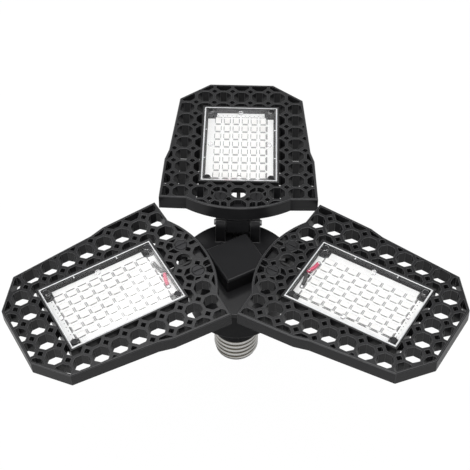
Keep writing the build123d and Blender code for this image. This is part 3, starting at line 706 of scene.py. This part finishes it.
# %% Narrower spigot
SPIGOT_BELOW, SPIGOT_OUTSIDE = -0.1, 10.5   # height and radius that bound its points, mm
SPIGOT_SHARE = 0.9                # of a point's distance from the axis

spigot = bpy.data.objects["hub_cup_rounded"].data
corners = np.empty(3 * len(spigot.vertices))
spigot.vertices.foreach_get("co", corners)
corners = corners.reshape(-1, 3)
chosen = ((corners[:, 2] < SPIGOT_BELOW * MM)
          & (np.hypot(corners[:, 0], corners[:, 1]) > SPIGOT_OUTSIDE * MM))
corners[chosen, :2] *= SPIGOT_SHARE
spigot.vertices.foreach_set("co", corners.ravel())
spigot.update()
print("spigot points", int(chosen.sum()))

# %% [markdown]
# ## The tip
# A metal disc under the insulator, with a mound of solder where the lead comes
# through. Both are round, so a lathe could turn them in one piece, and the mesh
# does the same: a profile carried round the lamp's axis, with no seam to weld.

# %% Contact tip
TIP_TURN = 48
# radii and heights of the profile, from the disc's rim down to the solder's tip
TIP_PROFILE = np.array([(4.5, -24.8), (4.7, -25.0), (4.65, -25.35), (4.3, -25.55),
                        (2.9, -25.62), (2.5, -25.8), (2.1, -26.15), (1.4, -26.4),
                        (0.6, -26.49)])


def turned(profile, sectors):
    """A profile of (radius, height) in millimetres carried round the Z axis, with a
    flat face over each end."""
    angle = np.linspace(0, 2 * np.pi, sectors, endpoint=False)
    radius, height = profile[:, :1], profile[:, 1:]
    points = np.stack([radius * np.cos(angle), radius * np.sin(angle),
                       height + 0 * angle], -1) * MM
    faces = grid_faces(len(profile), sectors)[:, ::-1].tolist()
    faces.append(list(range(sectors)))
    faces.append(list(range((len(profile) - 1) * sectors, len(profile) * sectors))[::-1])
    return points, faces


tip = new_piece("contact_tip", *turned(TIP_PROFILE, TIP_TURN), "hub", "contact_metal",
                "contact_metal")
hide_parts("centre_contact")
print("tip", len(tip.data.polygons))

# %% [markdown]
# ## Light chips
# Forty-eight chips stand on each board. A chip is a white moulded frame round a
# sunk lens: a stack of rings of eight points, each shrunk and lifted. An Array
# modifier could repeat it, but the pads, the print and the cover's tabs repeat at
# other places, and one function can set any stack down wherever it is wanted.

# %% Stacks of rings
BOARD_TOP, WINDOW_MIDDLE = 10.9, COVER_MIDDLE[0]
CHIP_LENGTH, CHIP_WIDTH, CHIP_CUT = 5.7, 3.4, 0.3
CHIP_ROWS, CHIP_COLUMNS, ROW_PITCH, COLUMN_PITCH = 8, 6, 7.1, 5.4
# how far each ring is drawn in from the chip's outline, and its height
CHIP_STEPS = np.array([(0.0, 0.0), (0.06, 0.52), (0.14, 0.6), (0.42, 0.6), (0.62, 0.45)])


def spread(count, pitch, middle=0.0):
    """Places a pitch apart about a middle: it, plus the pitch times the index less
    half the last index."""
    return (np.arange(count) - (count - 1) / 2) * pitch + middle


def chip_rings():
    """Rings of one chip: each side lies half the length or width less the ring's
    inset from the middle, and the corners are cut by a fixed length."""
    inset, height = CHIP_STEPS[:, :1], CHIP_STEPS[:, 1:]
    length, width = CHIP_LENGTH / 2 - inset, CHIP_WIDTH / 2 - inset
    short, narrow = length - CHIP_CUT, width - CHIP_CUT
    x = np.hstack([length, length, short, -short, -length, -length, -short, short])
    y = np.hstack([-narrow, narrow, width, width, narrow, -narrow, -width, -width])
    return np.stack([x, y, height + 0 * x], -1)


def box_rings(length, width, height):
    """A plain bar as two rings of four points, half its length and width out."""
    x = np.array([1, 1, -1, -1]) * length / 2
    y = np.array([-1, 1, 1, -1]) * width / 2
    return np.stack([np.stack([x, y, 0 * x + z], -1) for z in (0, height)])


def stacked(rings, places, base):
    """The rings at every place and lifted to a base height, each stack with a cap at
    its bottom and its top: the sum of all the rings' points and all the places."""
    layers, sides = rings.shape[:2]
    feet = np.column_stack([places, np.full(len(places), base)])
    points = (rings.reshape(-1, 3) + feet[:, None]).reshape(-1, 3)
    stack = grid_faces(layers, sides).tolist()
    stack += [list(range(sides))[::-1], list(range((layers - 1) * sides, layers * sides))]
    return points, [[corner + first for corner in face]
                    for first in range(0, len(points), layers * sides) for face in stack]


CHIP_X = spread(CHIP_ROWS, ROW_PITCH, WINDOW_MIDDLE)
CHIP_Y = spread(CHIP_COLUMNS, COLUMN_PITCH)
print("chips at x", CHIP_X.round(2), "y", CHIP_Y.round(2))

# %% [markdown]
# ## All the chips of a board
# Two dark bars along a chip's sides are a painted shade: they stand for the shade
# lines there. A tinned pad shows beyond each end, and its grey is partly a painted
# shade. They could be pieces of their own, but no one takes a chip apart, so a
# board's chips are one mesh whose faces have four finishes.

# %% Chips
SHADE_BAR, PAD = (3.8, 0.3, 0.12), (0.55, 3.0, 0.3)   # length, width and height
CHIP_BITE = 0.02                  # how far the shade bars and pads run into the chip


def light_chips(number):
    """Bodies, painted-shade bars and pads of a board's chips: a bar's middle lies half
    the chip and half itself from the chip's, less the bite. Of a body's faces, the
    innermost band and the top have the lens's finish."""
    places = np.stack(np.meshgrid(CHIP_X, CHIP_Y, indexing="ij"), -1).reshape(-1, 2)
    beside = np.array([0, (CHIP_WIDTH + SHADE_BAR[1]) / 2 - CHIP_BITE])
    beyond = np.array([(CHIP_LENGTH + PAD[0]) / 2 - CHIP_BITE, 0])
    rings = chip_rings()
    parts = [stacked(rings, places, BOARD_TOP)]
    for size, shift in ((SHADE_BAR, beside), (PAD, beyond)):
        both_sides = np.vstack([places + shift, places - shift])
        parts.append(stacked(box_rings(*size), both_sides, BOARD_TOP))
    layers, sides = rings.shape[:2]
    body = np.repeat([0, 1, 0, 1], [(layers - 2) * sides, sides, 1, 1])
    finish = np.concatenate([np.tile(body, len(places)),
                             np.repeat([2, 3], [len(faces) for _, faces in parts[1:]])])
    points, faces = joined(parts)
    return new_piece(f"light_chips_{number}", in_leaf(number, points), faces,
                     f"leaf_{number}", "chip_lens", "chip_body", "chip_lens",
                     "chip_side_shade", "tinned_pad_and_shade", face_finish=finish, smooth=False)


for number in LEAVES:
    chips = light_chips(number)
    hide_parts(f"led_chips_{number}")
print("chips", len(chips.data.polygons), "faces a board")

# %% [markdown]
# ## Print and pads on the board
# A thin printed dash line frames the chips on three sides, and a row of small test
# pads lies along the board's outer end. An image could carry both, but then the
# mesh itself would lack them, so they are bars and discs, three hundredths of a
# millimetre high.

# %% Board details
PRINT_HEIGHT, PRINT_WIDTH, PRINT_MARGIN = 0.03, 0.5, 0.75
DASH_ALONG, DASH_ACROSS = 5.2, 4.4
TEST_PAD_RADIUS, TEST_PAD_SIDES = 0.28, 8
TEST_PAD_PITCH, TEST_PAD_COUNT, TEST_PAD_REACH = 2.7, 11, 82.4


def board_details(number):
    """A dash beside each chip at the array's two ends and one side, a margin outside
    the outermost chips, and the round pads."""
    half_length = CHIP_X[-1] - WINDOW_MIDDLE + CHIP_LENGTH / 2 + PRINT_MARGIN
    half_width = CHIP_Y[-1] + CHIP_WIDTH / 2 + PRINT_MARGIN
    turn = np.arange(TEST_PAD_SIDES) * 2 * np.pi / TEST_PAD_SIDES
    disc = np.stack([np.cos(turn), np.sin(turn), 0 * turn], -1) * TEST_PAD_RADIUS
    shapes = (
        (box_rings(PRINT_WIDTH, DASH_ACROSS, PRINT_HEIGHT),
         [(WINDOW_MIDDLE + side * half_length, y) for side in (-1, 1) for y in CHIP_Y]),
        (box_rings(DASH_ALONG, PRINT_WIDTH, PRINT_HEIGHT),
         [(x, -half_width) for x in CHIP_X]),
        (np.stack([disc, disc + [0, 0, PRINT_HEIGHT]]),
         [(TEST_PAD_REACH, y) for y in spread(TEST_PAD_COUNT, TEST_PAD_PITCH)]))
    points, faces = joined(stacked(rings, places, BOARD_TOP) for rings, places in shapes)
    return new_piece(f"board_print_{number}", in_leaf(number, points), faces,
                     f"leaf_{number}", "board_white", "board_print", smooth=False)


for number in LEAVES:
    details = board_details(number)
print("board print", len(details.data.polygons))

# %% [markdown]
# ## The cover's rim and tabs
# The cover's outline has a rim, a flat ring on its top face, and two small ribs
# lie in its lower face on each long side. Both are painted highlights: pale matte
# bars that stand for the bright lines the acrylic's edges catch. A mask in the
# acrylic could paint them, but lines this thin stay crisper as bars of their own
# with a pale matte finish.

# %% Cover rim
COVER_TOP = 15.4
# the rim's section: how far in from the cover's outline, and how far above its face
RIM_SECTION = np.array([(0.3, -0.015), (0.3, 0.015), (0.82, 0.015), (0.82, -0.015)])
TAB_SIZE, TAB_PLACE, TAB_DEPTH = (0.6, 1.3, 0.3), np.array([13.0, 20.75]), 1.5


def cover_rim(number):
    """The section carried round four corners, each half the cover's size less the
    inset from its middle; and a bar at each tab's place."""
    corners = np.array([(1, -1), (1, 1), (-1, 1), (-1, -1)])
    inset, height = RIM_SECTION[:, None, :1], RIM_SECTION[:, None, 1:]
    plan = corners * (COVER_HALF - inset) + COVER_MIDDLE
    ring = np.concatenate([plan, COVER_TOP + height + 0 * plan[..., :1]], -1)
    tabs = stacked(box_rings(*TAB_SIZE), corners * TAB_PLACE + COVER_MIDDLE,
                   COVER_TOP - TAB_DEPTH)
    points, faces = joined([(ring.reshape(-1, 3),
                             grid_faces(4, 4, wrap_rows=True).tolist()), tabs])
    return new_piece(f"cover_rim_{number}", in_leaf(number, points), faces,
                     f"leaf_{number}", "clear_cover", "acrylic_edge_highlight", smooth=False)


for number in LEAVES:
    rim = cover_rim(number)
print("rim", len(rim.data.polygons))

# %% [markdown]
# ## Backing in the heel
# In the photograph no light comes through the heel. Two plates carry the bracket's
# flange on to the window's wall, one on each side of the lead, and small bars
# bring the ribs next to them level with the rim. The cells' own walls could be
# pushed down, but plain prisms behind them leave the grille as the CAD has it.

# %% Backing
# the plate beside the lead, anticlockwise in the leaf's frame; the other mirrors it
PLATE_OUTLINE = np.array([(10.3, 4.7), (13.2, 4.7), (13.2, 1.3),
                          (16.8, 1.3), (16.8, 16.8), (10.3, 16.8)])
PLATE_HEIGHTS = 11.3, 12.3
BAR_OUTLINE = np.array([(-0.3, -1.9), (0.3, -1.9), (0.3, 1.9), (-0.3, 1.9)])
BAR_HEIGHTS = 6.75, 7.7
BAR_PLACES = [(13.35, 22.0), (13.35, 33.0), (24.35, 33.0), (35.35, 33.0)]


def prism(outline, heights):
    """An outline that runs anticlockwise, at two heights, with a cap over each end."""
    count = len(outline)
    points = np.column_stack([np.tile(outline, (2, 1)), np.repeat(heights, count)])
    caps = [list(range(count))[::-1], list(range(count, 2 * count))]
    return points, caps + grid_faces(2, count).tolist()


def heel_backing(number):
    """The plates and bars of a leaf, each on both sides of its middle line. The
    mirrored outline is read backwards, so that it runs anticlockwise again."""
    shapes = [(PLATE_OUTLINE, PLATE_HEIGHTS)]
    shapes += [(BAR_OUTLINE + place, BAR_HEIGHTS) for place in BAR_PLACES]
    points, faces = joined(prism(side, heights) for outline, heights in shapes
                           for side in (outline, outline[::-1] * (1, -1)))
    # the plates' finish is the hub's darker plastic, a painted shade
    return new_piece(f"heel_backing_{number}", in_leaf(number, points), faces,
                     f"leaf_{number}", "black_plastic", "shaded_hub_plastic", smooth=False)


for number in LEAVES:
    backing = heel_backing(number)
print("backing", len(backing.data.polygons))

# %% [markdown]
# ## Tubes along a path
# A lead is a soft round core that bends a little. A curve object with a bevel could
# draw it, but it would have to be turned into a mesh before it takes its place. So
# a circle is carried along a path: the path is a Catmull-Rom curve, which passes
# through all its points, and each ring stands across it.

# %% Paths and tubes
LEAD_STEPS = 8                    # rings between two points of the path
# a lead's path from the sleeve's end to its solder, in the leaf's frame
LEAD_POINTS = np.array([(20.75, 1.1, 11.3), (21.3, 1.5, 11.8), (22.0, 3.4, 12.0),
                        (22.7, 6.2, 11.95), (22.9, 8.4, 11.9)])


def through(points, steps):
    """The Catmull-Rom curve through points: between two of them, a cubic whose end
    slopes are half the difference of their neighbours."""
    ends = np.vstack([2 * points[0] - points[1], points, 2 * points[-1] - points[-2]])
    t = (np.arange(steps) / steps)[None, :, None]
    a, b, c, d = (ends[i:len(ends) - 3 + i, None] for i in range(4))
    curve = b + 0.5 * t * (c - a + t * (2 * a - 5 * b + 4 * c - d
                                        + t * (3 * (b - c) + d - a)))
    return np.vstack([curve.reshape(-1, 3), points[-1]])


def tube(path, radius, sides):
    """Rings of a circle across a path: the two directions across it are square to
    its slope, one of them level."""
    slope = np.gradient(path, axis=0)
    slope /= np.linalg.norm(slope, axis=1, keepdims=True)
    level_side = np.cross([0.0, 0.0, 1.0], slope)
    level_side /= np.linalg.norm(level_side, axis=1, keepdims=True)
    lift = np.cross(slope, level_side)
    angle = np.linspace(0, 2 * np.pi, sides, endpoint=False)[None, :, None]
    points = path[:, None] + radius * (np.cos(angle) * level_side[:, None]
                                       + np.sin(angle) * lift[:, None])
    faces = grid_faces(len(path), sides).tolist()
    faces.append(list(range(sides))[::-1])
    faces.append(list(range((len(path) - 1) * sides, len(path) * sides)))
    return points.reshape(-1, 3), faces


print("points on a lead's path", len(through(LEAD_POINTS, LEAD_STEPS)))

# %% [markdown]
# ## Soldered leads
# A red and a black lead leave the sleeve, rise over the board's edge and end in a
# mound of solder. Molten solder could be modelled as a fluid, but it sets as a low
# dome, and the turned profile of the tip serves here too.

# %% Leads
LEAD_RADIUS, LEAD_SIDES = 1.05, 12
TUCKED_IN = {1: 1.6, 2: 0.0, 3: 0.0}   # how far a leaf's leads lie nearer the hub, mm
SOLDER_PLACE, SOLDER_RADIUS, SOLDER_HEIGHT = np.array([22.9, 9.4]), 1.3, 1.3
SOLDER_RINGS, SOLDER_SIDES = 6, 16
SOLDER_RISE, SOLDER_POWER = 0.48 * np.pi, 0.8   # nearly to the pole; below one is fuller


def solder_mound(place):
    """A dome: its radius falls as a power of the cosine of a rising angle, and its
    height follows the sine."""
    rise = np.linspace(0, SOLDER_RISE, SOLDER_RINGS)
    profile = np.column_stack([SOLDER_RADIUS * np.cos(rise) ** SOLDER_POWER,
                               SOLDER_HEIGHT * np.sin(rise)])
    points, faces = turned(profile, SOLDER_SIDES)
    points = points.reshape(-1, 3) / MM + [*place, BOARD_TOP]
    return points, [face[::-1] for face in faces]


for number in LEAVES:
    for color, side in (("red", 1), ("black", -1)):
        mirror = np.array([1, side, 1])
        tuck = np.array([TUCKED_IN[number], 0, 0])
        path = through(np.vstack([LEAD_POINTS[:1], LEAD_POINTS[1:] - tuck]) * mirror,
                       LEAD_STEPS)
        points, faces = tube(path, LEAD_RADIUS, LEAD_SIDES)
        lead = new_piece(f"{color}_wire_{number}", in_leaf(number, points), faces,
                         f"leaf_{number}", f"cable_{color}", f"cable_{color}")
        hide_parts(f"{color}_lead_{number}")
        points, faces = solder_mound((SOLDER_PLACE - tuck[:2]) * [1, side])
        new_piece(f"{color}_solder_{number}", in_leaf(number, points), faces,
                  f"leaf_{number}", f"cable_{color}", "solder")
print("leads", len(lead.data.polygons))
